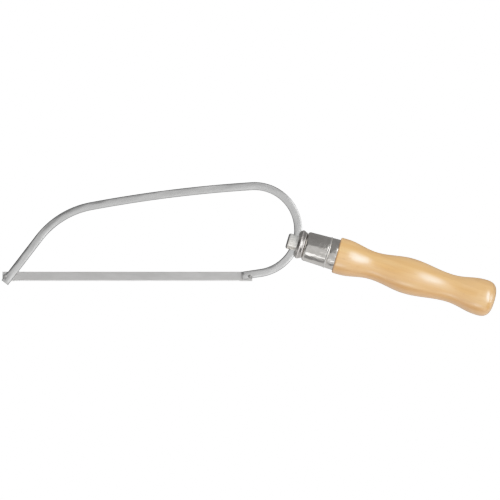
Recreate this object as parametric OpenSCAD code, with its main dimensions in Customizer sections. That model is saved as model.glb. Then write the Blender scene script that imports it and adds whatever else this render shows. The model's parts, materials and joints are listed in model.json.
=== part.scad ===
// Coping saw: a sprung flat-bar bow carries a pin-end blade, and an eye bolt clamps the bow's
// round rear bend to a turned wooden handle. The saw stands upright in the XZ plane, with the
// blade tip towards -X and the handle towards +X. The origin is the middle of the grip.

/* [Blade] */
// Length of the blade over both ends
blade_length = 150; // [146:1:154]
// Height of the blade from its back to the tips of its teeth
blade_height = 5.8; // [5:0.1:6]
// Thickness of the blade
blade_thickness = 0.65; // [0.4:0.05:0.8]
// Distance from each end of the blade to its cross pin
pin_inset = 1.5; // [1.3:0.1:2]
// Diameter of the cross pins
pin_d = 1.9; // [1.5:0.1:2.2]
// Length of the cross pins
pin_length = 5.6; // [4:0.2:7]
// Distance from one tooth to the next
tooth_pitch = 1.1; // [0.8:0.1:1.6]
// Depth of the teeth
tooth_depth = 0.55; // [0.3:0.05:0.8]
// Plain stretch at each end of the blade
plain_end = 7; // [5:1:15]

/* [Bow] */
// Width of the bar in the plane of the saw
bar_width = 4.9; // [4:0.1:5.5]
// Thickness of the bar across the saw
bar_thickness = 3.4; // [2.8:0.1:3.8]
// Rounding of the bar's edges
bar_rounding = 0.7; // [0.4:0.1:1]
// Swelling of the bar where it is formed into a bend
bend_swell = 0.04; // [0.03:0.01:0.06]
// Centreline radius of the rear bend, which the eye bolt grips
bend_radius = 26.2; // [25.5:0.1:27]
// Drop from the centre of the rear bend to the middle of the blade
blade_drop = 28; // [27:0.1:29]
// Distance the blade's rear end lies short of the bend's centre
blade_setback = 1.2; // [0.8:0.1:1.6]
// Slope of the crown where it meets the rear bend
crown_slope = 3.6; // [3:0.1:4.4]
// Slope of the crown where it meets the front bend
shoulder_slope = 10.6; // [9:0.1:12]
// Length of the crown between its bends
crown_length = 97.3; // [96:0.1:100]
// Centreline radius of the front bend
shoulder_radius = 51; // [49:0.5:53]
// Slope of the front leg
leg_slope = 52.5; // [50:0.5:54]
// Length of the straight front leg
leg_length = 33.8; // [32:0.2:35]
// Slope of the short straight end under the rear bend
tail_slope = 8.5; // [7:0.5:10]
// Length of that straight end
tail_length = 11.2; // [10:0.2:12]
// Width of the sawn slots that take the blade
slot_width = 0.9; // [0.8:0.05:1.1]

/* [Handle] */
// Angle of the handle below the line of the blade
handle_tilt = 16.3; // [10:0.1:24]
// Distance of the handle's axis below the bend's centre
axis_drop = 0.7; // [0:0.1:1]
// Distance from the bend's centre to the middle of the grip
grip_reach = 96.5; // [95:0.5:100]
// Length of the wood behind the ferrule
wood_length = 98.6; // [94:0.2:104]
// Diameter of the shoulder against the ferrule
shoulder_d = 22.1; // [21:0.1:24]
// Diameter of the neck for the forefinger
front_neck_d = 16.9; // [16.4:0.1:19]
// Diameter of the grip at its middle
grip_d = 21.9; // [20:0.1:24]
// Diameter of the waist behind the grip
rear_neck_d = 16.9; // [15:0.1:19]
// Diameter of the end knob
knob_d = 22.2; // [20:0.1:25]

/* [Clamp] */
// Diameter of the eye bolt's head
eye_d = 9.6; // [9:0.1:10]
// Diameter of the eye bolt's shank
shank_d = 6; // [5:0.5:6]
// Diameter of the pressure collar
collar_d = 17.6; // [17:0.1:18]
// Diameter of the thrust washer
washer_d = 16.2; // [15.4:0.1:16.6]
// Diameter of the ferrule at its front
ferrule_front_d = 17.7; // [17.2:0.1:18.2]
// Diameter of the ferrule at its rear
ferrule_rear_d = 19; // [18.4:0.1:19.6]
// Width of the clamp nut across its flats
nut_flats = 10; // [9:0.5:10]

/* [Hidden] */
$fn = 96;
eps = 0.01;

// Fits: running is around what turns or slides, seat is between fixed pieces
running = 0.08;
seat = 0.05;
bar_play = 0.12;
bar_overlap = 0.6;

// Stations along the handle's axis, measured from the centre of the rear bend
eye_front = 20.6;
eye_back = 30.0;
collar_front = 27;
collar_back = 30.3;
washer_back = 31.6;
ferrule_front = 31.7;
ferrule_back = grip_reach - 45;
bead_at = ferrule_back - 5.4;
wall = 1.1;
nut_length = 5;
shank_end = 60;

// Stations along the wood, measured from the ferrule's rear edge
shoulder_flat = 4;
front_neck_at = 23;
grip_at = 45;
rear_neck_at = 71;
knob_at = 90;
wood_step = 2;
knob_squareness = 2.7;
knob_steps = 10;

// Centre of the rear bend and heights of the bar's path
bend_x = axis_drop * sin(handle_tilt) - grip_reach * cos(handle_tilt);
bend_z = axis_drop * cos(handle_tilt) + grip_reach * sin(handle_tilt);
bend_start = 90 + crown_slope;
bend_end = tail_slope - 90;
crown_radius = crown_length * 180 / (PI * (shoulder_slope - crown_slope));

// Blade and pins, measured from the centre of the rear bend
blade_rear = -blade_setback;
blade_front = blade_rear - blade_length;
pin_rear = blade_rear - pin_inset;
pin_front = blade_front + pin_inset;
leg_slot_depth = 11;
tail_slot_depth = 7;

function heading(angle) = [cos(angle), sin(angle)];
function mix(a, b, t) = a + (b - a) * t;
function ease(t) = (1 - cos(180 * t)) / 2;

// Path of the bar, drawn flat: start of the crown, of the front bend, and of the leg
crown_start = bend_radius * heading(bend_start);
crown_centre = crown_start - crown_radius * heading(bend_start);
shoulder_start = crown_centre + crown_radius * heading(90 + shoulder_slope);
shoulder_centre = shoulder_start - shoulder_radius * heading(90 + shoulder_slope);
leg_start = shoulder_centre + shoulder_radius * heading(90 + leg_slope);
leg_end = leg_start - leg_length * heading(leg_slope);
tail_start = bend_radius * heading(bend_end);
tail_end = tail_start - tail_length * heading(tail_slope);

// Places the saw's flat drawing upright, with its origin at the centre of the rear bend
module upright() {
    translate([bend_x, 0, bend_z])
        rotate([90, 0, 0])
            children();
}

// Places a piece on the handle's axis, with +Z running from the bow to the butt
module on_handle_axis() {
    rotate([0, 90 + handle_tilt, 0])
        translate([0, 0, -grip_reach])
            children();
}

module bar_section(swell = 0) {
    width = bar_width + swell;
    thickness = bar_thickness + swell;
    square([width - 2 * bar_rounding, thickness], center = true);
    square([width, thickness - 2 * bar_rounding], center = true);
    for (side = [-1, 1], face = [-1, 1])
        translate([side * (width / 2 - bar_rounding), face * (thickness / 2 - bar_rounding)])
            circle(r = bar_rounding, $fn = 32);
}

// Formed bend of the bar
module bar_bend(centre, radius, from, sweep) {
    translate(centre)
        rotate([0, 0, from])
            rotate_extrude(angle = sweep)
                translate([radius, 0])
                    bar_section(bend_swell);
}

// Straight length of the bar, which starts a little inside the bend before it
module bar_straight(start, slope, length) {
    translate(start + bar_overlap * heading(slope))
        rotate([90, 0, slope - 90])
            linear_extrude(length + bar_overlap)
                bar_section();
}

// Crown of the bow, a very shallow arc whose ends run a little into both bends
module bar_crown() {
    inset = bar_overlap * 180 / (PI * crown_radius);
    translate(crown_centre)
        rotate([0, 0, bend_start - inset])
            rotate_extrude(angle = shoulder_slope - crown_slope + 2 * inset, $fn = 960)
                translate([crown_radius, 0])
                    bar_section();
}

// Sawn slot in the plane of the bar, cut from an end into its length
module sawn_slot(end, slope, depth) {
    translate(end)
        rotate([0, 0, slope])
            translate([-1, -bar_width, -slot_width / 2])
                cube([depth + 1, 2 * bar_width, slot_width]);
}

// Seat for a cross pin, open towards the given direction
module pin_notch(at, open_towards) {
    notch_d = pin_d + 2 * seat;
    translate([at, -blade_drop, -bar_thickness])
        rotate([0, 0, open_towards]) {
            cylinder(d = notch_d, h = 2 * bar_thickness);
            translate([0, -notch_d / 2, 0])
                cube([bar_width, notch_d, 2 * bar_thickness]);
        }
}

module bow() {
    color("silver")
        upright()
            difference() {
                union() {
                    bar_bend([0, 0], bend_radius, bend_end, bend_start - bend_end);
                    bar_crown();
                    bar_bend(shoulder_centre, shoulder_radius, 90 + shoulder_slope,
                             leg_slope - shoulder_slope);
                    bar_straight(leg_start, leg_slope, leg_length);
                    bar_straight(tail_start, tail_slope, tail_length);
                }
                sawn_slot(leg_end, leg_slope, leg_slot_depth);
                sawn_slot(tail_end, tail_slope, tail_slot_depth);
                pin_notch(pin_front, 90 + leg_slope);
                pin_notch(pin_rear, -90);
            }
}

module blade() {
    tooth_run = blade_length - 2 * plain_end;
    teeth = floor(tooth_run / tooth_pitch);
    first_tooth = blade_front + (blade_length - teeth * tooth_pitch) / 2;
    edge = -blade_drop - blade_height / 2;
    back = edge + blade_height;
    tooth_line = [for (i = [0 : teeth - 1], tip = [0, 1])
        [first_tooth + (i + tip) * tooth_pitch, edge + (1 - tip) * tooth_depth]];
    color("dimgray")
        upright()
            difference() {
                translate([0, 0, -blade_thickness / 2])
                    linear_extrude(blade_thickness)
                        polygon(concat([[blade_front, back], [blade_front, edge], [first_tooth, edge]],
                                       tooth_line, [[blade_rear, edge], [blade_rear, back]]));
                for (at = [pin_front, pin_rear])
                    translate([at, -blade_drop, -blade_thickness])
                        cylinder(d = pin_d, h = 2 * blade_thickness);
            }
}

module cross_pin(at) {
    upright()
        translate([at, -blade_drop, -pin_length / 2])
            cylinder(d = pin_d, h = pin_length);
}

module blade_pin_front() {
    color("gray") cross_pin(pin_front);
}

module blade_pin_rear() {
    color("gray") cross_pin(pin_rear);
}

// Eye bolt: a round head with a closed slot for the bow, and a shank drawn in by the handle
module eye_bolt() {
    corner = 1;
    slot_inner = bend_radius - bar_width / 2 - bar_play;
    slot_outer = bend_radius + bar_width / 2 + bar_play;
    slot = bar_thickness + 2 * bar_play;
    color("lightgray")
        difference() {
            on_handle_axis()
                rotate_extrude()
                    polygon([[0, eye_front], [eye_d / 2 - corner, eye_front],
                             [eye_d / 2 - corner / 3, eye_front + corner / 3],
                             [eye_d / 2, eye_front + corner], [eye_d / 2, eye_back],
                             [shank_d / 2, eye_back], [shank_d / 2, shank_end - 0.5],
                             [shank_d / 2 - 0.5, shank_end], [0, shank_end]]);
            upright()
                rotate([0, 0, -handle_tilt - 30])
                    rotate_extrude(angle = 60)
                        translate([slot_inner, -slot / 2])
                            square([slot_outer - slot_inner, slot]);
        }
}

// Pressure collar: bored over the eye, with a cross groove that seats the bow and both edges sloping
module collar() {
    groove_outer = bend_radius + bar_width / 2 + bar_play;
    groove = bar_thickness + 2 * bar_play;
    bevel_length = 1.5;
    bevel_drop = 1;
    slope_length = 1.2;
    slope_drop = 0.5;
    lead = 0.5;
    bore_r = eye_d / 2 + running;
    color("silver")
        difference() {
            on_handle_axis()
                rotate_extrude()
                    polygon([[bore_r + lead, collar_front], [collar_d / 2 - bevel_drop, collar_front],
                             [collar_d / 2, collar_front + bevel_length],
                             [collar_d / 2, collar_back - slope_length],
                             [collar_d / 2 - slope_drop, collar_back], [bore_r, collar_back],
                             [bore_r, collar_front + lead]]);
            upright()
                rotate([0, 0, -handle_tilt - 45])
                    rotate_extrude(angle = 90)
                        translate([0, -groove / 2])
                            square([groove_outer, groove]);
        }
}

// Thrust washer: the still ring that the ferrule turns against
module thrust_washer() {
    edge = 0.2;
    bevel = 0.6;
    color("gainsboro")
        on_handle_axis()
            rotate_extrude()
                polygon([[shank_d / 2 + running, collar_back], [washer_d / 2 - edge, collar_back],
                         [washer_d / 2, collar_back + edge], [washer_d / 2, washer_back - bevel],
                         [washer_d / 2 - bevel, washer_back], [shank_d / 2 + running, washer_back]]);
}

// Ferrule: a drawn cup with a crimped bead, closed at the front around the shank
module ferrule() {
    lip = 1.5;
    bead = 0.35;
    bore_r = ferrule_front_d / 2 - wall;
    bead_r = mix(ferrule_front_d, ferrule_rear_d,
                 (bead_at - ferrule_front) / (ferrule_back - ferrule_front)) / 2;
    color("lightgray")
        on_handle_axis()
            rotate_extrude()
                polygon(concat(
                    [[shank_d / 2 + running, ferrule_front]],
                    [for (a = [0 : 15 : 90])
                        [ferrule_front_d / 2 - lip * (1 - sin(a)), ferrule_front + lip * (1 - cos(a))]],
                    [for (a = [0 : 30 : 180]) [bead_r + bead * sin(a), bead_at - bead * cos(a)]],
                    [[ferrule_rear_d / 2, ferrule_back], [bore_r, ferrule_back],
                     [bore_r, ferrule_front + wall], [shank_d / 2 + running, ferrule_front + wall]]));
}

// Clamp nut: held in the wood behind the ferrule's front wall
module clamp_nut() {
    nut_front = ferrule_front + wall;
    color("darkgoldenrod")
        on_handle_axis()
            translate([0, 0, nut_front])
                difference() {
                    cylinder(d = nut_flats / cos(30), h = nut_length, $fn = 6);
                    translate([0, 0, -eps])
                        cylinder(d = shank_d + running, h = nut_length + 2 * eps);
                }
}

// Radius of the turned wood at a distance s behind the ferrule
function wood_radius(s) =
    s < shoulder_flat ? shoulder_d / 2 :
    s < front_neck_at ? mix(shoulder_d, front_neck_d,
                            ease((s - shoulder_flat) / (front_neck_at - shoulder_flat))) / 2 :
    s < grip_at ? mix(front_neck_d, grip_d, ease((s - front_neck_at) / (grip_at - front_neck_at))) / 2 :
    s < rear_neck_at ? mix(grip_d, rear_neck_d, ease((s - grip_at) / (rear_neck_at - grip_at))) / 2 :
    mix(rear_neck_d, knob_d, ease((s - rear_neck_at) / (knob_at - rear_neck_at))) / 2;

module wood_handle() {
    edge = 1;
    tenon_r = ferrule_front_d / 2 - wall - seat;
    tenon_front = ferrule_front + wall + seat;
    bore_back = shank_end + 4;
    knob_length = wood_length - knob_at;
    curve = 2 / knob_squareness;
    body = [for (s = [edge : wood_step : knob_at - wood_step]) [wood_radius(s), ferrule_back + s]];
    knob = [for (i = [0 : knob_steps]) let (a = 90 * i / knob_steps)
        [knob_d / 2 * pow(cos(a), curve), ferrule_back + knob_at + knob_length * pow(sin(a), curve)]];
    color("burlywood")
        difference() {
            on_handle_axis()
                rotate_extrude()
                    polygon(concat([[0, tenon_front], [tenon_r, tenon_front], [tenon_r, ferrule_back],
                                    [shoulder_d / 2 - edge, ferrule_back]], body, knob));
            on_handle_axis()
                translate([0, 0, tenon_front - eps])
                    cylinder(d = shank_d + 8 * running, h = bore_back - tenon_front);
            on_handle_axis()
                translate([0, 0, tenon_front - eps])
                    cylinder(d = (nut_flats + 2 * seat) / cos(30), h = nut_length, $fn = 6);
        }
}

bow();
blade();
blade_pin_front();
blade_pin_rear();
eye_bolt();
collar();
thrust_washer();
ferrule();
clamp_nut();
wood_handle();
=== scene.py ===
import json
import math

import bmesh
import bpy
from mathutils import Matrix, Vector


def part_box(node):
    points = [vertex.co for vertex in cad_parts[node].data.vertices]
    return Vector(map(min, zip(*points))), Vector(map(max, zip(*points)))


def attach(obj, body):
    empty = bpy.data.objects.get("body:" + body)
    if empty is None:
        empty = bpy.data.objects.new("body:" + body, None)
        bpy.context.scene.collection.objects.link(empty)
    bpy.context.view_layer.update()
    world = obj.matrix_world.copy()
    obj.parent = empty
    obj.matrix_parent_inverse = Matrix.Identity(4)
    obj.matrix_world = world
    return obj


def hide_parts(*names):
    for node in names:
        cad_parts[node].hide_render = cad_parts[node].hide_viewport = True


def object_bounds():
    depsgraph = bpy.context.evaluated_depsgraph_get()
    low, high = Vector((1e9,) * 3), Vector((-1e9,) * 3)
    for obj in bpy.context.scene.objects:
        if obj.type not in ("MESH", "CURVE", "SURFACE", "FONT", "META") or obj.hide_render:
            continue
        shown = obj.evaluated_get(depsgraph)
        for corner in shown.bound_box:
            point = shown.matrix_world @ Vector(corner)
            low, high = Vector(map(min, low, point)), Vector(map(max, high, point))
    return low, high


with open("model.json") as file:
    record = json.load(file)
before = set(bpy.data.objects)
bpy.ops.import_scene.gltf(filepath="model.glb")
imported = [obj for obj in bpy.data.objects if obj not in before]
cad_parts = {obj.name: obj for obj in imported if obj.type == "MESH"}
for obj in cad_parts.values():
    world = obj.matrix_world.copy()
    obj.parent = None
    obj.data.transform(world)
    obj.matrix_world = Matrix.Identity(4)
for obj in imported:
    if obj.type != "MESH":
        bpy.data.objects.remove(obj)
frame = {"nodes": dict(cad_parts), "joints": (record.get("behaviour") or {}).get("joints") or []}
cad_low, cad_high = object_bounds()
JOINTS = {joint["name"]: joint for joint in frame["joints"]}

# ---------------------------------------------------------------- sizes, in metres
MM = 0.001

# Bow: bar section and the path of its centreline, as in the design
BAR_WIDTH = 4.9 * MM
BAR_THICKNESS = 3.4 * MM
BAR_ROUNDING = 0.5 * MM
BAR_CROWN = 0.14 * MM
BAR_SOFTENING = 0.14 * MM
BEND_RADIUS = 26.2 * MM
CROWN_SLOPE, SHOULDER_SLOPE = math.radians(3.6), math.radians(10.6)
CROWN_LENGTH = 97.3 * MM
SHOULDER_RADIUS = 51 * MM
LEG_SLOPE, LEG_LENGTH = math.radians(52.5), 33.8 * MM
TAIL_SLOPE, TAIL_LENGTH = math.radians(8.5), 11.2 * MM
SLOT_WIDTH = 0.9 * MM
LEG_SLOT, TAIL_SLOT = 11 * MM, 7 * MM
PIN_PLAY = 0.05 * MM

# Blade teeth
TOOTH_PITCH = 1.1 * MM
TOOTH_DEPTH = 0.55 * MM
ROOT_LINE = 1.5 * TOOTH_DEPTH
PLAIN_END = 7 * MM
END_STRIP = 2 * MM
TOOTH_SET = 0.12 * MM

# Clamp and handle
SHANK_RADIUS = 3 * MM
SHANK_CHAMFER = 0.6 * MM
THREAD_PITCH = 1 * MM
THREAD_DEPTH = 0.55 * MM
HEAD_LENGTH = 9.4 * MM
HEAD_ROUNDING, HEAD_BACK_ROUNDING = 1.3 * MM, 0.35 * MM
COLLAR_SLOPE, COLLAR_DROP, COLLAR_LEAD = 1.2 * MM, 0.5 * MM, 0.5 * MM
COLLAR_BEVEL, COLLAR_BEVEL_DROP = 1.5 * MM, 1.0 * MM
WASHER_BEVEL = 0.6 * MM
FERRULE_LIP = 1.5 * MM
BAR_PLAY = 0.12 * MM
RUNNING = 0.08 * MM
BEAD_FROM_REAR = 5.4 * MM
BEAD_HALF_WIDTH, BEAD_HEIGHT = 0.5 * MM, 0.35 * MM
FERRULE_WALL = 1.1 * MM
TENON_CLEAR = 0.05 * MM
KNOB_END = 8.6 * MM
KNOB_SQUARENESS = 3.0

# ---------------------------------------------------------------- places, from the frame
BEND_CENTRE = Vector(JOINTS["bow_shift"]["pos_m"])
TO_BUTT = -Vector(JOINTS["handle_turn"]["axis"]).normalized()
ACROSS = Vector((0, 1, 0))
HANDLE_FRAME = Matrix((ACROSS.cross(TO_BUTT), ACROSS, TO_BUTT)).transposed().to_4x4()
HANDLE_FRAME.translation = Vector(JOINTS["handle_turn"]["pos_m"])
TO_HANDLE = HANDLE_FRAME.inverted()


def outline(node):
    """Outer radius of a turned CAD node at each station along the handle's axis, as {station: radius}."""
    found = {}
    for vertex in frame["nodes"][node].data.vertices:
        place = TO_HANDLE @ vertex.co
        station = round(place.z, 5)
        found[station] = max(found.get(station, 0), math.hypot(place.x, place.y))
    return found


def stations(node):
    """A turned CAD node's first and last station."""
    found = outline(node)
    return min(found), max(found)


# ---------------------------------------------------------------- mesh tools
def new_object(name, mesh_maker, matrix=None):
    mesh = bpy.data.meshes.new(name)
    made = bpy.data.objects.new(name, mesh)
    bpy.context.scene.collection.objects.link(made)
    work = bmesh.new()
    mesh_maker(work)
    if matrix:
        bmesh.ops.transform(work, matrix=matrix, verts=work.verts)
    bmesh.ops.recalc_face_normals(work, faces=work.faces)
    work.to_mesh(mesh)
    work.free()
    return made


def lathe(name, profile, around=96, closed=False, matrix=HANDLE_FRAME, radius_at=None):
    """Turns (station, radius) points about the local Z axis.

    radius_at(angle, station, radius) may shape the rings."""
    def make(work):
        rings = []
        for station, radius in profile:
            if radius < 1e-7:
                rings.append([work.verts.new((0, 0, station))])
                continue
            ring = []
            for i in range(around):
                angle = 2 * math.pi * i / around
                reach = radius_at(angle, station, radius) if radius_at else radius
                ring.append(work.verts.new((reach * math.cos(angle), reach * math.sin(angle), station)))
            rings.append(ring)
        pairs = list(zip(rings, rings[1:])) + ([(rings[-1], rings[0])] if closed else [])
        for first, second in pairs:
            for i in range(around):
                j = (i + 1) % around
                if len(first) == 1 and len(second) > 1:
                    work.faces.new((first[0], second[i], second[j]))
                elif len(second) == 1 and len(first) > 1:
                    work.faces.new((first[i], second[0], first[j]))
                elif len(first) > 1:
                    work.faces.new((first[i], second[i], second[j], first[j]))
    return new_object(name, make, matrix)


def spoke(angle):
    """The unit direction at an angle, in a plane."""
    return Vector((math.cos(angle), math.sin(angle)))


def fillet(corner, radius, before, after, steps=6):
    """Points of a round corner between the directions from corner to before and to after."""
    corner, before, after = (Vector(point) for point in (corner, before, after))
    to_before, to_after = (before - corner).normalized(), (after - corner).normalized()
    half = to_before.angle(to_after) / 2
    reach = radius / math.tan(half)
    centre = corner + (to_before + to_after).normalized() * radius / math.sin(half)
    start, end = corner + to_before * reach, corner + to_after * reach
    turn = (start - centre).angle_signed(end - centre)
    points = []
    for i in range(steps + 1):
        turned = Matrix.Rotation(-turn * i / steps, 2) @ (start - centre)
        points.append(tuple(centre + turned))
    return points


def rounded(corners, radii, closed=True):
    """A profile whose corners are rounded by the given radii."""
    points = []
    count = len(corners)
    for i, (corner, radius) in enumerate(zip(corners, radii)):
        at_end = not closed and i in (0, count - 1)
        if radius <= 0 or at_end:
            points.append(corner)
        else:
            points += fillet(corner, radius, corners[i - 1], corners[(i + 1) % count])
    return points


def smooth_line(points, steps):
    """A curve through the points, with steps pieces between each two."""
    ends = [points[0], *points, points[-1]]
    line = []
    for before, start, end, after in zip(ends, ends[1:], ends[2:], ends[3:]):
        for k in range(steps):
            t = k / steps
            line.append(tuple(
                0.5 * (2 * b + (c - a) * t + (2 * a - 5 * b + 4 * c - d) * t ** 2
                       + (3 * b - a - 3 * c + d) * t ** 3)
                for a, b, c, d in zip(before, start, end, after)))
    return [*line, points[-1]]


def apply_modifiers(piece):
    """Replaces the piece's mesh by what its modifiers make of it."""
    graph = bpy.context.evaluated_depsgraph_get()
    mesh = bpy.data.meshes.new_from_object(piece.evaluated_get(graph))
    mesh.name = piece.name
    piece.modifiers.clear()
    piece.data = mesh


def cut(piece, cutter):
    """Cuts the cutter out of the piece and deletes the cutter."""
    modifier = piece.modifiers.new("cut", "BOOLEAN")
    modifier.object = cutter
    modifier.solver = "EXACT"
    bpy.context.view_layer.update()
    apply_modifiers(piece)
    bpy.data.objects.remove(cutter)


def soften(piece, width, limit=35):
    """Rounds every edge sharper than the limit, in degrees."""
    modifier = piece.modifiers.new("edges", "BEVEL")
    modifier.width = width
    modifier.segments = 2
    modifier.limit_method = "ANGLE"
    modifier.angle_limit = math.radians(limit)
    modifier.use_clamp_overlap = True
    apply_modifiers(piece)


def shade(piece, limit=32):
    """Smooth shading that keeps edges sharper than the limit, in degrees."""
    work = bmesh.new()
    work.from_mesh(piece.data)
    bmesh.ops.remove_doubles(work, verts=work.verts, dist=1e-7)
    for face in work.faces:
        face.smooth = True
    for edge in work.edges:
        edge.smooth = len(edge.link_faces) == 2 and edge.calc_face_angle(0) < math.radians(limit)
    work.to_mesh(piece.data)
    work.free()


def box_cutter(name, size, matrix):
    def make(work):
        bmesh.ops.create_cube(work, size=1, matrix=matrix @ Matrix.Diagonal((*size, 1)))
    return new_object(name, make)


def stand_for(piece, node, body, material):
    """Gives the piece its material and lets it stand for a CAD node on its body."""
    piece.data.materials.clear()
    piece.data.materials.append(material)
    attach(piece, body)
    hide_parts(node)


# ---------------------------------------------------------------- material tools
class Graph:
    """Builds one material's nodes."""

    def __init__(self, name):
        self.material = bpy.data.materials.new(name)
        self.material.use_nodes = True
        self.tree = self.material.node_tree
        self.surface = self.tree.nodes["Principled BSDF"]

    def add(self, kind, inputs=(), **settings):
        node = self.tree.nodes.new("ShaderNode" + kind)
        for key, value in settings.items():
            setattr(node, key, value)
        for key, value in dict(inputs).items():
            self.put(node, key, value)
        return node

    def put(self, node, key, value):
        if isinstance(value, bpy.types.NodeSocket):
            self.tree.links.new(value, node.inputs[key])
        else:
            node.inputs[key].default_value = value

    def surface_values(self, **values):
        for key, value in values.items():
            self.put(self.surface, key.replace("_", " "), value)

    def place(self, scale):
        coordinates = self.add("TexCoord").outputs["Object"]
        return self.add("Mapping", {"Vector": coordinates, "Scale": scale}).outputs["Vector"]

    def on_axis(self, scale):
        """Coordinates with Z along the handle's axis."""
        coordinates = self.add("TexCoord").outputs["Object"]
        turned = self.add("Mapping", {"Vector": coordinates, "Rotation": TO_HANDLE.to_euler()})
        return self.add("Mapping", {"Vector": turned.outputs["Vector"], "Scale": scale}).outputs["Vector"]

    def run(self, scale):
        """Coordinates along and around a swept piece, from its run UV map."""
        coordinates = self.add("UVMap", uv_map="run").outputs["UV"]
        return self.add("Mapping", {"Vector": coordinates, "Scale": scale}).outputs["Vector"]

    def noise(self, vector, scale=1.0, detail=4.0, roughness=0.55, distortion=0.0):
        return self.add("TexNoise", {"Vector": vector, "Scale": scale, "Detail": detail,
                                     "Roughness": roughness, "Distortion": distortion}).outputs["Fac"]

    def remap(self, value, low, high, to_low=0.0, to_high=1.0):
        return self.add("MapRange", {"Value": value, "From Min": low, "From Max": high,
                                     "To Min": to_low, "To Max": to_high}).outputs["Result"]

    def maths(self, operation, first, second=0.0):
        node = self.add("Math", operation=operation)
        self.put(node, 0, first)
        self.put(node, 1, second)
        return node.outputs[0]

    def mix(self, share, first, second, blend="MIX"):
        node = self.add("Mix", data_type="RGBA", blend_type=blend)
        self.put(node, 0, share)
        self.put(node, 6, first)
        self.put(node, 7, second)
        return node.outputs[2]

    def bump(self, height, strength, distance, normal=None):
        inputs = {"Height": height, "Strength": strength, "Distance": distance}
        if normal:
            inputs["Normal"] = normal
        return self.add("Bump", inputs).outputs["Normal"]


def colour(red, green, blue):
    return (red, green, blue, 1.0)


def plated_steel(name, tint, shade_tint, gloss, streaks, marks, waves, metal=1.0, rim=None):
    """Nickel plate: fine streaks left by polishing, soft smudges, small pits and a wavy skin.

    rim paints light into a band: dark for painted shade, light for painted highlight, given as (mask, painted
    tone, added roughness)."""
    graph = Graph(name)
    wave_scale, wave_depth = waves
    fine = graph.noise(streaks(graph), detail=3, roughness=0.7)
    smudge = graph.noise(graph.place((marks, marks, marks)), detail=5, roughness=0.6, distortion=0.4)
    pits = graph.add("TexVoronoi", {"Vector": graph.place((900, 900, 900)), "Scale": 1.0}).outputs["Distance"]
    pitted = graph.remap(pits, 0.10, 0.0)
    clouded = graph.remap(smudge, 0.35, 0.75)
    tone = graph.mix(clouded, tint, shade_tint)
    tone = graph.mix(graph.maths("MULTIPLY", pitted, 0.5), tone, colour(0.28, 0.27, 0.26))
    low, high = gloss
    rough = graph.remap(smudge, 0.3, 0.7, low, high)
    rough = graph.maths("ADD", rough, graph.remap(fine, 0.3, 0.7, -0.05, 0.07))
    # Painted light: the rim band mixes its painted tone, dark for shade and light for highlights, into the
    # plate.
    if rim:
        mask, painted_tone, dulled = rim
        share = mask(graph)
        tone = graph.mix(share, tone, painted_tone)
        rough = graph.maths("ADD", rough, graph.maths("MULTIPLY", share, dulled))
    normal = graph.bump(graph.noise(wave_scale(graph), detail=2), 1.0, wave_depth)
    normal = graph.bump(fine, 0.06, 0.02 * MM, normal)
    normal = graph.bump(pitted, 0.25, -0.02 * MM, normal)
    graph.surface_values(Base_Color=tone, Metallic=metal, Roughness=rough, Normal=normal)
    return graph.material


def drawn_along(graph):
    return graph.run((60, 9000, 1))


def turned_round(graph):
    return graph.on_axis((90, 90, 6000))


def long_waves(graph):
    return graph.run((35, 120, 1))


def round_waves(graph):
    return graph.on_axis((170, 170, 110))


def station_on_axis(graph, station):
    """Distance behind a station along the handle's axis."""
    along = graph.add("SeparateXYZ", {"Vector": graph.on_axis((1, 1, 1))}).outputs["Z"]
    return graph.maths("SUBTRACT", along, station + TO_BUTT.dot(HANDLE_FRAME.translation))


def painted_head_shade(graph):
    """Mask of painted shade: a dark band on the rounded front edge of the eye bolt's head."""
    behind = station_on_axis(graph, stations("eye_bolt")[0])
    off_face = graph.remap(behind, 0.02 * MM, 0.12 * MM)
    return graph.maths("MULTIPLY", off_face, graph.remap(behind, 1.2 * MM, 0.8 * MM, 0.0, 0.9))


def band(graph, start, end):
    """One between two stations on the handle's axis, and nothing elsewhere."""
    off_middle = graph.maths("ABSOLUTE", station_on_axis(graph, (start + end) / 2))
    return graph.remap(off_middle, (end - start) / 2 + 0.1 * MM, (end - start) / 2 - 0.1 * MM)


def painted_bead_highlight(graph):
    """Mask of painted highlight: a lighter tone on the crest of the ferrule's bead."""
    bead_at = stations("ferrule")[1] - BEAD_FROM_REAR
    return band(graph, bead_at - 0.5 * MM, bead_at + 0.5 * MM)


def painted_ring_highlights(graph):
    """Mask of painted highlight: a lighter, duller tone on the outer faces of the collar and the thrust ring.
    """
    front, back = stations("collar")
    ring_front, ring_back = stations("thrust_washer")
    collar = band(graph, front + COLLAR_BEVEL, back - COLLAR_SLOPE)
    ring = band(graph, ring_front + 0.2 * MM, ring_back - WASHER_BEVEL)
    return graph.maths("MAXIMUM", collar, ring)


def painted_bar_edge_shade(graph):
    """Mask of painted shade: dark lines on the four rounded edges of the bow's bar, from the distance around it
    in the run map.
    """
    around = graph.add("SeparateXYZ", {"Vector": graph.run((1, 1, 1))}).outputs["Y"]
    edge = math.pi / 2 * BAR_ROUNDING
    flat = BAR_WIDTH - 2 * BAR_ROUNDING
    side = BAR_THICKNESS - 2 * BAR_CROWN - 2 * BAR_ROUNDING
    place = graph.maths("MODULO", around, 2 * edge + flat + side)
    first = graph.maths("ABSOLUTE", graph.maths("SUBTRACT", place, 0.5 * edge))
    second = graph.maths("ABSOLUTE", graph.maths("SUBTRACT", place, 1.5 * edge + flat))
    return graph.remap(graph.maths("MINIMUM", first, second), 0.55 * edge, 0.25 * edge, 0.0, 0.5)


def rolled_along_x(graph):
    return graph.place((70, 2500, 5200))


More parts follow.
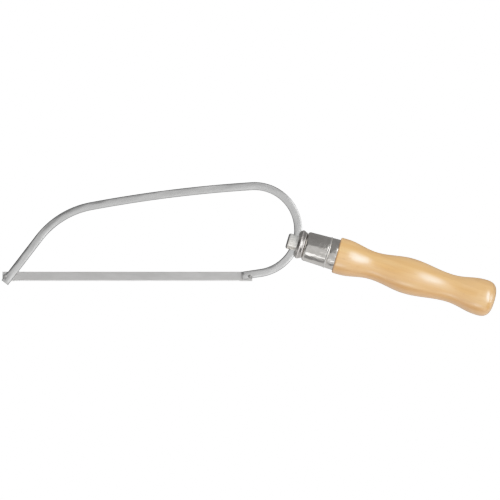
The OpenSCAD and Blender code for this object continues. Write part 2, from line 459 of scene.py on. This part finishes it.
def blade_steel():
    """Matte rolled strip: long rolling lines, a faint mottle and bright filed teeth."""
    graph = Graph("blade_steel")
    lines = graph.noise(rolled_along_x(graph), detail=4, roughness=0.75)
    mottle = graph.noise(graph.place((60, 400, 180)), detail=6, roughness=0.65, distortion=0.6)
    height = graph.add("SeparateXYZ", {"Vector": graph.place((1, 1, 1))}).outputs["Z"]
    low, _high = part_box("blade")
    filed = graph.remap(height, low.z + 2.0 * TOOTH_DEPTH, low.z + 0.9 * TOOTH_DEPTH)
    tone = graph.mix(graph.remap(mottle, 0.3, 0.7), colour(0.605, 0.602, 0.60), colour(0.485, 0.482, 0.48))
    tone = graph.mix(graph.remap(lines, 0.35, 0.7, 0.0, 0.35), tone, colour(0.74, 0.74, 0.735))
    tone = graph.mix(graph.maths("MULTIPLY", filed, 0.8), tone, colour(0.84, 0.84, 0.83))
    rough = graph.remap(lines, 0.3, 0.7, 0.42, 0.58)
    rough = graph.maths("SUBTRACT", rough, graph.maths("MULTIPLY", filed, 0.15))
    normal = graph.bump(lines, 0.35, 0.02 * MM)
    graph.surface_values(Base_Color=tone, Metallic=0.9, Roughness=rough, Normal=normal)
    return graph.material


def plain_steel(name, tone_light, tone_dark, low, high):
    """Bare drawn steel with a dull, slightly uneven skin."""
    graph = Graph(name)
    skin = graph.noise(graph.place((700, 700, 700)), detail=6, roughness=0.7)
    tone = graph.mix(graph.remap(skin, 0.3, 0.7), tone_light, tone_dark)
    graph.surface_values(Base_Color=tone, Metallic=1.0, Roughness=graph.remap(skin, 0.3, 0.7, low, high),
                         Normal=graph.bump(skin, 0.3, 0.03 * MM))
    return graph.material


def lacquered_wood():
    """Pale close-grained wood under clear lacquer: growth rings, fibres, short pores and end grain."""
    graph = Graph("lacquered_wood")
    ring_place = graph.on_axis((1, 1, 0.075))
    warp = graph.noise(graph.on_axis((24, 24, 7)), detail=3)
    shifted = graph.add("VectorMath", {0: ring_place, 1: (0.046, 0.021, 0.0)}, operation="ADD").outputs[0]
    warped = graph.add("VectorMath", operation="ADD")
    graph.put(warped, 0, shifted)
    graph.put(warped, 1, graph.add("CombineXYZ", {"X": graph.maths("MULTIPLY", warp, 0.007)}).outputs[0])
    rings = graph.add("TexWave", {"Vector": warped.outputs[0], "Scale": 95.0, "Distortion": 1.6,
                                  "Detail": 3.0, "Detail Scale": 1.2},
                      wave_type="RINGS", rings_direction="Z", wave_profile="SAW").outputs["Fac"]
    fibres = graph.noise(graph.on_axis((1500, 1500, 45)), detail=4, roughness=0.7)
    streak = graph.noise(graph.on_axis((260, 260, 9)), detail=3, roughness=0.6)
    pores = graph.remap(graph.noise(graph.on_axis((2300, 2300, 210)), detail=2), 0.66, 0.74)
    broad = graph.noise(graph.on_axis((45, 45, 12)), detail=2)

    tone = graph.mix(graph.remap(broad, 0.3, 0.7), colour(0.86, 0.500, 0.215), colour(0.80, 0.435, 0.150))
    tone = graph.mix(graph.remap(rings, 0.15, 1.0, 0.0, 0.30), tone, colour(0.66, 0.34, 0.105))
    tone = graph.mix(graph.remap(streak, 0.45, 0.75, 0.0, 0.30), tone, colour(0.92, 0.62, 0.29))
    tone = graph.mix(graph.remap(fibres, 0.35, 0.75, 0.0, 0.22), tone, colour(0.60, 0.33, 0.12))
    tone = graph.mix(graph.maths("MULTIPLY", pores, 0.40), tone, colour(0.34, 0.17, 0.06))

    grain = graph.bump(graph.maths("SUBTRACT", fibres, pores), 0.25, 0.03 * MM)
    ripple = graph.bump(graph.noise(graph.on_axis((190, 190, 60)), detail=2), 0.12, 0.12 * MM)
    graph.surface_values(Base_Color=tone, Roughness=graph.remap(fibres, 0.3, 0.7, 0.34, 0.46), Normal=grain,
                         Coat_Weight=1.0, Coat_Roughness=0.25, Coat_IOR=2.2, Coat_Normal=ripple)
    return graph.material


# ---------------------------------------------------------------- the bow
def arc(centre, radius, start, end, step):
    """Points along an arc with their outward headings, as (point, heading)."""
    count = max(2, math.ceil(abs(end - start) * radius / step))
    angles = [start + (end - start) * i / count for i in range(count + 1)]
    return [(centre + radius * spoke(angle), angle) for angle in angles]


def straight(start, length, slope, heading, step):
    """The same along a straight that runs down to the left at the slope."""
    count = max(1, math.ceil(length / step))
    return [(start - spoke(slope) * length * i / count, heading) for i in range(count + 1)]


def bow_path():
    """Centreline of the bar in the saw's plane, from the tail's end to the leg's end, as (point, heading)."""
    quarter = math.pi / 2
    tail_turn = TAIL_SLOPE - quarter
    tail_start = BEND_RADIUS * spoke(tail_turn)
    crown_turn, shoulder_turn = quarter + CROWN_SLOPE, quarter + SHOULDER_SLOPE
    leg_turn = quarter + LEG_SLOPE
    crown_radius = CROWN_LENGTH / (SHOULDER_SLOPE - CROWN_SLOPE)
    crown_centre = (BEND_RADIUS - crown_radius) * spoke(crown_turn)
    shoulder_centre = crown_centre + (crown_radius - SHOULDER_RADIUS) * spoke(shoulder_turn)
    leg_start = shoulder_centre + SHOULDER_RADIUS * spoke(leg_turn)

    path = straight(tail_start, TAIL_LENGTH, TAIL_SLOPE, tail_turn, 1.7 * MM)[:0:-1]
    path += arc(Vector((0, 0)), BEND_RADIUS, tail_turn, crown_turn, 0.8 * MM)
    path += arc(crown_centre, crown_radius, crown_turn, shoulder_turn, 2.5 * MM)[1:]
    path += arc(shoulder_centre, SHOULDER_RADIUS, shoulder_turn, leg_turn, 1.2 * MM)[1:]
    path += straight(leg_start, LEG_LENGTH, LEG_SLOPE, leg_turn, 2 * MM)[1:]
    return path


def bar_section():
    """The bar's section as (offset outwards, offset across): slightly crowned flats and round edges."""
    half_w, half_t = BAR_WIDTH / 2, BAR_THICKNESS / 2
    points = []
    steps = 6
    for out, side, first in ((1, 1, 0), (-1, 1, 90), (-1, -1, 180), (1, -1, 270)):
        for i in range(steps + 1):
            angle = math.radians(first + 90 * i / steps)
            points.append((out * (half_w - BAR_ROUNDING) + BAR_ROUNDING * math.cos(angle),
                           side * (half_t - BAR_CROWN - BAR_ROUNDING) + BAR_ROUNDING * math.sin(angle)))
        if first in (0, 180):
            points += [(out * half_w * k, side * (half_t - BAR_CROWN * k * k)) for k in (0.45, 0.0, -0.45)]
    return points


def in_plane(point, across=0.0):
    """A point of the saw's plane, measured from the centre of the rear bend, in the row frame."""
    return BEND_CENTRE + Vector((point[0], across, point[1]))


def plane_frame(point, slope, across=0.0):
    """Local X along the slope, local Y across the saw, at a point of the saw's plane."""
    return Matrix.Translation(in_plane(point, across)) @ Matrix.Rotation(-slope, 4, "Y")


def make_bow(material):
    path, section = bow_path(), bar_section()

    def make(work):
        run = work.loops.layers.uv.new("run")
        round_at = [0.0]
        for (a, b), (c, d) in zip(section, section[1:] + section[:1]):
            round_at.append(round_at[-1] + math.hypot(c - a, d - b))
        rings, along = [], []
        travelled, before = 0.0, path[0][0]
        for point, heading in path:
            travelled += (point - before).length
            before = point
            along.append(travelled)
            rings.append([work.verts.new(in_plane(point + out * spoke(heading), side))
                          for out, side in section])
        count = len(section)
        for k in range(len(rings) - 1):
            for i in range(count):
                j = (i + 1) % count
                face = work.faces.new((rings[k][i], rings[k + 1][i], rings[k + 1][j], rings[k][j]))
                corners = ((along[k], i), (along[k + 1], i), (along[k + 1], i + 1), (along[k], i + 1))
                for loop, (u, v) in zip(face.loops, corners):
                    loop[run].uv = (u, round_at[v])
        work.faces.new(rings[0])
        work.faces.new(rings[-1][::-1])

    bow = new_object("sprung_bow", make)
    tail_end, leg_end = path[0][0], path[-1][0]
    overrun = 1 * MM
    for name, end, slope, depth in (("leg", leg_end, LEG_SLOPE, LEG_SLOT),
                                    ("tail", tail_end, TAIL_SLOPE, TAIL_SLOT)):
        place = plane_frame(end, slope) @ Matrix.Translation((depth / 2 - overrun, 0, 0))
        cut(bow, box_cutter(name + "_slot", (depth + 2 * overrun, SLOT_WIDTH, 3 * BAR_WIDTH), place))
    for node, open_to in (("blade_pin_front", math.pi / 2 + LEG_SLOPE), ("blade_pin_rear", -math.pi / 2)):
        low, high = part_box(node)
        centre = (low + high) / 2
        radius = (high.x - low.x) / 2 + PIN_PLAY
        facing = Matrix.Translation(centre) @ Matrix.Rotation(-open_to, 4, "Y")
        cut(bow, notch_cutter(node + "_notch", radius, facing))
    soften(bow, BAR_SOFTENING)
    shade(bow)
    stand_for(bow, "bow", "bow", material)
    return bow


def notch_cutter(name, radius, matrix):
    """A round-bottomed notch that runs out along local X."""
    def make(work):
        reach = 2 * BAR_WIDTH
        half = 1.5 * BAR_THICKNESS
        angles = [math.radians(degrees) for degrees in range(90, 271, 10)]
        rim = [(radius * math.cos(angle), radius * math.sin(angle)) for angle in angles]
        rim += [(reach, -radius), (reach, radius)]
        ends = [[work.verts.new((x, side * half, z)) for x, z in rim] for side in (-1, 1)]
        for i in range(len(rim)):
            j = (i + 1) % len(rim)
            work.faces.new((ends[0][i], ends[0][j], ends[1][j], ends[1][i]))
        work.faces.new(ends[0])
        work.faces.new(ends[1][::-1])
        bmesh.ops.transform(work, matrix=matrix, verts=work.verts)
    return new_object(name, make)


# ---------------------------------------------------------------- the blade and its pins
def make_blade(material):
    low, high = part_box("blade")
    half = (high.y - low.y) / 2
    teeth = math.floor((high.x - low.x - 2 * PLAIN_END) / TOOTH_PITCH)
    first = (low.x + high.x - teeth * TOOTH_PITCH) / 2
    root = low.z + ROOT_LINE
    middle = low.z + 0.62 * (high.z - low.z)
    # One tooth from gullet to tip: (share of the pitch, share of the depth)
    gullet = ((0.0, 0.80), (0.05, 0.96), (0.16, 1.0), (0.30, 0.80), (0.94, 0.0))

    def make(work):
        def one_side(side):
            columns = [low.x, low.x + END_STRIP] + [first + i * TOOTH_PITCH for i in range(teeth + 1)]
            columns += [high.x - END_STRIP, high.x]
            rows = [[work.verts.new((x, side * half, z)) for x in columns] for z in (high.z, middle, root)]
            for upper, lower in zip(rows, rows[1:]):
                for i in range(len(columns) - 1):
                    work.faces.new((upper[i], upper[i + 1], lower[i + 1], lower[i]))
            roots = rows[2]
            edge = [work.verts.new((x, side * half, low.z)) for x in columns[:3]]
            last = work.verts.new((first, side * half, low.z + gullet[0][1] * TOOTH_DEPTH))
            work.faces.new((roots[0], roots[1], edge[1], edge[0]))
            work.faces.new((roots[1], roots[2], last, edge[2], edge[1]))
            edge.append(last)
            for k in range(teeth):
                lean = TOOTH_SET * (1 if k % 2 else -1)
                x = first + k * TOOTH_PITCH
                points = [last]
                for u, w in gullet[1:]:
                    y = side * half + (lean if w == 0.0 else 0.0)
                    points.append(work.verts.new((x + u * TOOTH_PITCH, y, low.z + w * TOOTH_DEPTH)))
                end_tip = work.verts.new((x + TOOTH_PITCH, side * half + lean, low.z))
                p0, p1, p2, p3, tip = points
                left, right = roots[k + 2], roots[k + 3]
                corner = work.verts.new((x + TOOTH_PITCH, side * half, low.z + gullet[0][1] * TOOTH_DEPTH))
                work.faces.new((left, p2, p1, p0))
                work.faces.new((left, p3, p2))
                work.faces.new((left, right, p3))
                work.faces.new((right, tip, p3))
                work.faces.new((right, corner, end_tip, tip))
                edge += [p1, p2, p3, tip, end_tip, corner]
                last = corner
            tail = [last] + [work.verts.new((x, side * half, low.z)) for x in columns[-3:]]
            work.faces.new((roots[-3], roots[-2], tail[2], tail[1], tail[0]))
            work.faces.new((roots[-2], roots[-1], tail[3], tail[2]))
            edge += tail[1:]
            return rows[0], [rows[1][0], rows[2][0]], [rows[1][-1], rows[2][-1]], edge
        sides = [one_side(side) for side in (-1, 1)]
        loops = []
        for back, front_end, rear_end, edge in sides:
            loops.append(back + rear_end + edge[::-1] + front_end[::-1])
        near, far = loops
        for i in range(len(near)):
            j = (i + 1) % len(near)
            work.faces.new((near[i], near[j], far[j], far[i]))

    blade = new_object("saw_blade", make)
    shade(blade)
    stand_for(blade, "blade", "bow", material)
    return blade


def make_pin(node, name, material):
    low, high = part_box(node)
    centre, radius, half = (low + high) / 2, (high.x - low.x) / 2, (high.y - low.y) / 2
    corners = [(-half, 0), (-half, radius), (half, radius), (half, 0)]
    profile = rounded(corners, [0, 0.28 * MM, 0.28 * MM, 0], closed=False)
    lying = Matrix.Translation(centre) @ Matrix.Rotation(math.radians(90), 4, "X")
    pin = lathe(name, profile, around=40, matrix=lying)
    shade(pin)
    stand_for(pin, node, "bow", material)
    return pin


# ---------------------------------------------------------------- the clamp
def ring_cutter(name, inner, outer, width, centre_angle, sweep):
    """Part of a flat ring about the centre of the rear bend, in the saw's plane."""
    def make(work):
        steps = 48
        rings = []
        for i in range(steps + 1):
            angle = centre_angle + sweep * (i / steps - 0.5)
            corners = ((inner, -1), (outer, -1), (outer, 1), (inner, 1))
            rings.append([work.verts.new(in_plane(reach * spoke(angle), side * width / 2))
                          for reach, side in corners])
        for first, second in zip(rings, rings[1:]):
            for i in range(4):
                j = (i + 1) % 4
                work.faces.new((first[i], second[i], second[j], first[j]))
        work.faces.new(rings[0][::-1])
        work.faces.new(rings[-1])
    return new_object(name, make)


def handle_angle():
    """Direction of the handle from the centre of the rear bend, in the saw's plane."""
    return math.atan2(TO_BUTT.z, TO_BUTT.x)


def thread_radius(angle, station, radius, start, end, depth=THREAD_DEPTH):
    """Radius of a right-hand thread between two stations, with a short run-in at each end."""
    if not start < station < end:
        return radius
    turn = ((station / THREAD_PITCH - angle / (2 * math.pi)) % 1.0)
    groove = max(0.0, 1.0 - abs(turn - 0.5) / 0.42)
    fade = min(1.0, (station - start) / THREAD_PITCH, (end - station) / THREAD_PITCH)
    return radius - depth * groove * fade


def make_eye_bolt(material):
    front, back = stations("eye_bolt")
    radius = max(outline("eye_bolt").values())
    head_back = front + HEAD_LENGTH
    head = rounded([(front, 0), (front, radius), (head_back, radius), (head_back, SHANK_RADIUS)],
                   [0, HEAD_ROUNDING, HEAD_BACK_ROUNDING, 0], closed=False)
    shank_start, shank_end = head_back + 0.3 * MM, back - SHANK_CHAMFER
    count = math.ceil((shank_end - head_back) / (THREAD_PITCH / 10))
    shank = [(shank_start + (shank_end - shank_start) * i / count, SHANK_RADIUS) for i in range(count + 1)]
    tip = [(back, SHANK_RADIUS - SHANK_CHAMFER), (back, 0)]
    thread_start, thread_end = head_back + 3 * MM, shank_end - 0.1 * MM

    def shape(angle, station, reach):
        return thread_radius(angle, station, reach, thread_start, thread_end)
    bolt = lathe("eye_bolt_head_and_shank", head + shank + tip, around=64, radius_at=shape)
    inner = BEND_RADIUS - BAR_WIDTH / 2 - BAR_PLAY
    outer = BEND_RADIUS + BAR_WIDTH / 2 + BAR_PLAY
    slot_width = BAR_THICKNESS + 2 * BAR_PLAY
    cut(bolt, ring_cutter("eye_slot", inner, outer, slot_width, handle_angle(), math.radians(60)))
    soften(bolt, 0.16 * MM, limit=50)
    shade(bolt, limit=40)
    stand_for(bolt, "eye_bolt", "bolt", material)
    return bolt


def make_collar(material):
    front, back = stations("collar")
    outer = max(outline("collar").values())
    inner = max(outline("eye_bolt").values()) + RUNNING
    rear = back - COLLAR_SLOPE
    corners = [(front, inner + COLLAR_LEAD), (front, outer - COLLAR_BEVEL_DROP), (front + COLLAR_BEVEL, outer),
               (rear, outer), (back, outer - COLLAR_DROP), (back, inner), (front + COLLAR_LEAD, inner)]
    profile = rounded(corners, [0.1 * MM, 0.15 * MM, 0.2 * MM, 0.3 * MM, 0.18 * MM, 0.1 * MM, 0.1 * MM])
    collar = lathe("pressure_collar", profile, around=144, closed=True)
    reach = BEND_RADIUS + BAR_WIDTH / 2 + BAR_PLAY
    groove_width = BAR_THICKNESS + 2 * BAR_PLAY
    cut(collar, ring_cutter("bow_groove", 0.4 * reach, reach, groove_width, handle_angle(), math.radians(90)))
    soften(collar, 0.12 * MM, limit=50)
    shade(collar)
    stand_for(collar, "collar", "collar", material)
    return collar


def make_washer(material):
    front, back = stations("thrust_washer")
    outer = max(outline("thrust_washer").values())
    inner = SHANK_RADIUS + RUNNING
    corners = [(front, inner), (front, outer), (back - WASHER_BEVEL, outer),
               (back, outer - WASHER_BEVEL), (back, inner)]
    profile = rounded(corners, [0.15 * MM, 0.18 * MM, 0.35 * MM, 0.1 * MM, 0.15 * MM])
    washer = lathe("thrust_ring", profile, around=144, closed=True)
    shade(washer)
    stand_for(washer, "thrust_washer", "collar", material)
    return washer


def make_ferrule(material):
    """A thin tapering cap with a rolled front edge and a raised bead."""
    front, back = stations("ferrule")
    found = outline("ferrule")
    rear_radius = found[back]
    bead_at = back - BEAD_FROM_REAR
    front_radius = min(radius for station, radius in found.items() if front + 1.3 * MM < station < bead_at)
    bore, hole = front_radius - FERRULE_WALL, SHANK_RADIUS + RUNNING

    def wall(station):
        share = (station - front) / (back - front)
        return front_radius + (rear_radius - front_radius) * share
    lip = fillet((front, front_radius), FERRULE_LIP, (front, 0), (back, rear_radius), steps=10)
    bead, steps = [], 10
    for i in range(steps + 1):
        t = 2 * i / steps - 1
        rise = BEAD_HEIGHT * (1 - t * t) ** 0.7 if abs(t) < 1 else 0.0
        station = bead_at + t * BEAD_HALF_WIDTH
        bead.append((station, wall(station) + rise))
    # The rolling presses the wall in a little on each side of the bead
    near, far, pressed = 0.62 * MM, 1.0 * MM, wall(bead_at) - 0.10 * MM
    before = [(bead_at - far, wall(bead_at - far)), (bead_at - near, pressed)]
    after = [(bead_at + near, pressed), (bead_at + far, wall(bead_at + far))]
    outside = [(front, hole + 0.2 * MM)] + lip + before + bead + after
    rim = [(back - 0.3 * MM, wall(back - 0.3 * MM)), (back - 0.08 * MM, rear_radius - 0.08 * MM),
           (back, rear_radius - 0.3 * MM)]
    front_inside = front + FERRULE_WALL
    inside = [(back, bore + 0.1 * MM), (back - 0.1 * MM, bore), (front_inside, bore),
              (front_inside, hole + 0.1 * MM), (front_inside - 0.1 * MM, hole), (front + 0.2 * MM, hole)]
    ferrule = lathe("handle_ferrule", outside + rim + inside, around=144, closed=True)
    shade(ferrule, limit=28)
    stand_for(ferrule, "ferrule", "handle", material)
    return ferrule


def make_nut(material):
    """A hexagon nut with chamfered corners and a threaded bore."""
    front, back = stations("clamp_nut")
    corner = max(outline("clamp_nut").values())
    flat = corner * math.cos(math.radians(30))
    bore = SHANK_RADIUS + RUNNING / 2
    chamfer = 0.55 * MM

    def shape(angle, station, radius):
        if radius <= bore + 0.3 * MM:
            return bore + 0.25 * MM - thread_radius(angle, station, 0, front, back, -0.25 * MM)
        hexagon = flat / math.cos((angle % math.radians(60)) - math.radians(30))
        edge = min(station - front, back - station)
        limit = flat + (corner - flat) * min(1.0, edge / chamfer)
        return min(hexagon, limit)
    outside = [(front + (back - front) * t, corner) for t in (0, 0.05, 0.11, 0.3, 0.5, 0.7, 0.89, 0.95, 1)]
    steps = 40
    inside = [(back - (back - front) * i / steps, bore) for i in range(steps + 1)]
    nut = lathe("clamp_nut_hex", outside + inside, around=120, closed=True, radius_at=shape)
    shade(nut, limit=25)
    stand_for(nut, "clamp_nut", "handle", material)
    return nut


# ---------------------------------------------------------------- the handle
def make_handle(material):
    front, butt = stations("wood_handle")
    found = outline("wood_handle")
    shoulder = stations("ferrule")[1]
    bolt_end = stations("eye_bolt")[1]
    nut_back = stations("clamp_nut")[1]
    tenon, knob, knob_radius = found[front], butt - KNOB_END, max(found.values())
    turned = [(s, r) for s, r in sorted(found.items()) if shoulder + 0.5 * MM < s < knob - 1 * MM and r > tenon]
    turned = smooth_line([(shoulder, turned[0][1]), *turned, (knob, knob_radius)], 4)
    shoulder_round = fillet((shoulder, turned[0][1]), 0.9 * MM, (shoulder, 0), (butt, turned[0][1]))
    bore = SHANK_RADIUS + 4 * RUNNING
    pocket = max(outline("clamp_nut").values()) + TENON_CLEAR
    inside = [(bolt_end + 4 * MM, 0), (bolt_end + 3.4 * MM, bore), (nut_back, bore), (nut_back, pocket),
              (front, pocket), (front, tenon - 0.4 * MM), (front + 0.4 * MM, tenon), (shoulder, tenon)]
    body = [(s, r) for s, r in turned if s > shoulder_round[-1][0] + 0.3 * MM]
    curve, steps = 2 / KNOB_SQUARENESS, 28
    end = []
    for i in range(1, steps + 1):
        angle = math.pi / 2 * i / steps
        reach = KNOB_END * math.sin(angle) ** curve
        end.append((knob + reach, knob_radius * max(0.0, math.cos(angle)) ** curve))
    end[-1] = (butt, 0)
    handle = lathe("turned_handle", inside + shoulder_round + body + end, around=144)
    shade(handle)
    stand_for(handle, "wood_handle", "handle", material)
    return handle


# ---------------------------------------------------------------- studio
FLOOR_DROP = 0.23
FLOOR_RADIUS = 1.15
LENS, SENSOR = 200.0, 36.0
FRAME_WIDTH = 0.300
FRAMING = Vector((0.00075, 0.0, -0.00065))
# The studio: the room's axis, where along it the room's tone turns, and the radiance above and below
ROOM_AXIS, ROOM_EDGES, ROOM_TONES = (0.10, -0.30, -0.95), (-0.08, 0.19), (0.27, 0.68)
# Soft patches of light or shade in the room: direction of the middle, half size each way, radiance
PATCHES = (
    ((-0.30, -0.93, 0.17), (0.26, 1.0, 0.22), -0.56),   # shade on the bow's leg and shoulder
    ((0.18, -0.94, -0.28), (0.20, 1.0, 0.20), 0.55),    # light on the lower half of the plate
    ((-0.23, -0.56, -0.80), (0.30, 0.20, 0.14), 1.50),  # bright band low on the ferrule
    ((-0.28, -0.10, -0.95), (0.40, 0.40, 0.30), -0.42),  # dark line under that band
    ((0.54, -0.83, 0.10), (0.24, 1.0, 0.75), 4.60),     # highlights on the lacquer
    ((-0.82, -0.57, 0.00), (0.65, 0.8, 0.90), -0.36),   # shade on the eye bolt's head
    ((0.95, -0.25, -0.15), (0.35, 0.35, 0.45), 2.20),   # gloss on the end of the grip
    ((0.62, -0.25, -0.62), (0.40, 0.75, 0.40), -0.90))  # dark outer edge of the rear bend
PATCH_CORE = 0.35
DARKEST = 0.10
WHITE = 1.5
# Large soft lights for the wood, which the plate doesn't mirror: place, width, radiance, tint
FILLS = {"top_fill": ((-0.30, -0.60, 1.00), 0.80, 5.5, (0.97, 0.98, 1.0)),
         "low_fill": ((0.15, -0.60, -0.80), 0.60, 2.4, (1.0, 0.60, 0.12)),
         "back_fill": ((0.10, 0.90, 0.30), 0.80, 4.5, (1.0, 0.98, 0.96))}
# Tone curve of the picture, as (radiance, display level): highlights roll off softly
TONE_CURVE = ((0.25, 0.25), (0.50, 0.48), (0.75, 0.67), (1.00, 0.82), (1.25, 0.93))


def make_floor():
    """A pale round floor, well below the saw, that fades out towards its rim."""
    def make(work):
        bmesh.ops.create_circle(work, cap_ends=True, radius=FLOOR_RADIUS, segments=96)
    middle = (cad_low + cad_high) / 2
    floor = new_object("floor", make, Matrix.Translation((middle.x, middle.y, cad_low.z - FLOOR_DROP)))
    graph = Graph("pale_floor")
    place = graph.add("TexCoord").outputs["Object"]
    distance = graph.add("VectorMath", {0: place}, operation="LENGTH").outputs["Value"]
    speckle = graph.noise(graph.place((140, 140, 140)), detail=5)
    tone = graph.mix(graph.remap(speckle, 0.3, 0.7), colour(0.86, 0.86, 0.85), colour(0.83, 0.83, 0.82))
    fade = graph.remap(distance, 0.55 * FLOOR_RADIUS, 0.98 * FLOOR_RADIUS, 1.0, 0.0)
    graph.surface_values(Base_Color=tone, Roughness=0.7, Alpha=fade,
                         Emission_Color=tone, Emission_Strength=0.40)
    floor.data.materials.append(graph.material)
    floor.visible_glossy = floor.visible_diffuse = floor.visible_shadow = False


def make_world():
    """Plain white to the camera. As light: a room, dim above and bright below, with soft patches."""
    world = bpy.data.worlds.new("studio")
    bpy.context.scene.world = world
    world.use_nodes = True
    tree = world.node_tree
    tree.nodes.clear()

    def add(kind, **settings):
        node = tree.nodes.new("ShaderNode" + kind)
        for key, value in settings.items():
            setattr(node, key, value)
        return node
    direction = add("TexCoord").outputs["Generated"]

    def link(value, node, key):
        if isinstance(value, bpy.types.NodeSocket):
            tree.links.new(value, node.inputs[key])
        else:
            node.inputs[key].default_value = value

    def vector(operation, first, second, output="Vector"):
        node = add("VectorMath", operation=operation)
        link(first, node, 0)
        link(second, node, 1)
        return node.outputs[output]

    def step(value, low, high, first, last):
        ramp = add("MapRange", interpolation_type="SMOOTHSTEP")
        keys = ("Value", "From Min", "From Max", "To Min", "To Max")
        for key, setting in zip(keys, (value, low, high, first, last)):
            link(setting, ramp, key)
        return ramp.outputs["Result"]

    def maths(operation, first, second):
        node = add("Math", operation=operation)
        link(first, node, 0)
        link(second, node, 1)
        return node.outputs[0]

    def background(strength):
        node = add("Background")
        node.inputs["Color"].default_value = colour(1, 1, 1)
        link(strength, node, "Strength")
        return node.outputs[0]

    height = vector("DOT_PRODUCT", direction, Vector(ROOM_AXIS).normalized(), "Value")
    total = step(height, *ROOM_EDGES, *ROOM_TONES)
    for middle, half_size, radiance in PATCHES:
        offset = vector("SUBTRACT", direction, Vector(middle).normalized())
        reach = vector("MULTIPLY", offset, Vector([1 / size for size in half_size]))
        distance = vector("LENGTH", reach, (0, 0, 0), "Value")
        total = maths("ADD", total, step(distance, PATCH_CORE, 1.0, radiance, 0.0))
    total = maths("MAXIMUM", total, DARKEST)
    mixed = add("MixShader")
    tree.links.new(add("LightPath").outputs["Is Camera Ray"], mixed.inputs[0])
    tree.links.new(background(total), mixed.inputs[1])
    tree.links.new(background(WHITE), mixed.inputs[2])
    tree.links.new(mixed.outputs[0], add("OutputWorld").inputs["Surface"])


def make_light(name, place, width, radiance, tint):
    """A square softbox that faces the saw and has no mirror image, with its brightness given as radiance."""
    light = bpy.data.lights.new(name, "AREA")
    light.shape = "SQUARE"
    light.size = width
    light.energy = radiance * math.pi * width * width
    light.color = tint
    lamp = bpy.data.objects.new(name, light)
    bpy.context.scene.collection.objects.link(lamp)
    middle = (cad_low + cad_high) / 2
    lamp.location = middle + Vector(place)
    lamp.rotation_mode = "QUATERNION"
    lamp.rotation_quaternion = (middle - lamp.location).to_track_quat("-Z", "Y")
    lamp.visible_glossy = lamp.visible_camera = False


def make_camera():
    """A long lens square on to the saw, as in the photograph."""
    data = bpy.data.cameras.new("camera")
    data.lens, data.sensor_width = LENS, SENSOR
    camera = bpy.data.objects.new("camera", data)
    bpy.context.scene.collection.objects.link(camera)
    middle = (cad_low + cad_high) / 2 + FRAMING
    camera.location = middle - ACROSS * (FRAME_WIDTH * LENS / SENSOR)
    camera.rotation_mode = "QUATERNION"
    camera.rotation_quaternion = ACROSS.to_track_quat("-Z", "Y")
    data.clip_start, data.clip_end = 0.05, 50
    bpy.context.scene.camera = camera


def make_tones():
    """A plain view with a soft shoulder, so that highlights keep their colour."""
    view = bpy.context.scene.view_settings
    view.view_transform = "Standard"
    view.use_curve_mapping = True
    curves = view.curve_mapping
    curves.white_level = (WHITE, WHITE, WHITE)
    for radiance, level in TONE_CURVE:
        curves.curves[3].points.new(radiance / WHITE, level)
    curves.update()


# ---------------------------------------------------------------- assembly
# The bow's rounded bar edges get painted shade: a dark tone that stands in for dark reflections along them.
bow_plate = plated_steel("bow_nickel", colour(0.79, 0.79, 0.785), colour(0.70, 0.70, 0.695),
                         (0.19, 0.26), drawn_along, 60, (long_waves, 0.60 * MM),
                         rim=(painted_bar_edge_shade, colour(0.20, 0.20, 0.20), 0.0))
# The eye bolt's head gets painted shade: a dark band on its rounded front edge.
bolt_plate = plated_steel("bolt_nickel", colour(0.97, 0.965, 0.93), colour(0.92, 0.915, 0.88),
                          (0.26, 0.34), turned_round, 260, (round_waves, 0.15 * MM), metal=0.7,
                          rim=(painted_head_shade, colour(0.15, 0.148, 0.145), 0.0))
# The outer faces of the collar and the thrust ring get a painted highlight: a lighter tone on their crests.
collar_plate = plated_steel("collar_nickel", colour(0.66, 0.63, 0.60), colour(0.50, 0.475, 0.45),
                            (0.22, 0.32), turned_round, 260, (round_waves, 0.30 * MM),
                            rim=(painted_ring_highlights, colour(0.90, 0.85, 0.83), 0.24))
# The ferrule's bead gets a painted highlight: a lighter tone along its crest.
ferrule_plate = plated_steel("ferrule_nickel", colour(0.81, 0.782, 0.745), colour(0.62, 0.59, 0.555),
                             (0.10, 0.20), turned_round, 150, (round_waves, 0.60 * MM),
                             rim=(painted_bead_highlight, colour(0.93, 0.91, 0.88), 0.32))
pin_steel = plain_steel("pin_steel", colour(0.50, 0.50, 0.49), colour(0.34, 0.33, 0.32), 0.35, 0.50)

make_bow(bow_plate)
make_blade(blade_steel())
make_pin("blade_pin_front", "cross_pin_front", pin_steel)
make_pin("blade_pin_rear", "cross_pin_rear", pin_steel)
make_eye_bolt(bolt_plate)
make_collar(collar_plate)
make_washer(collar_plate)
make_ferrule(ferrule_plate)
make_nut(pin_steel)
make_handle(lacquered_wood())

make_floor()
make_world()
for fill, settings in FILLS.items():
    make_light(fill, *settings)
make_camera()
make_tones()
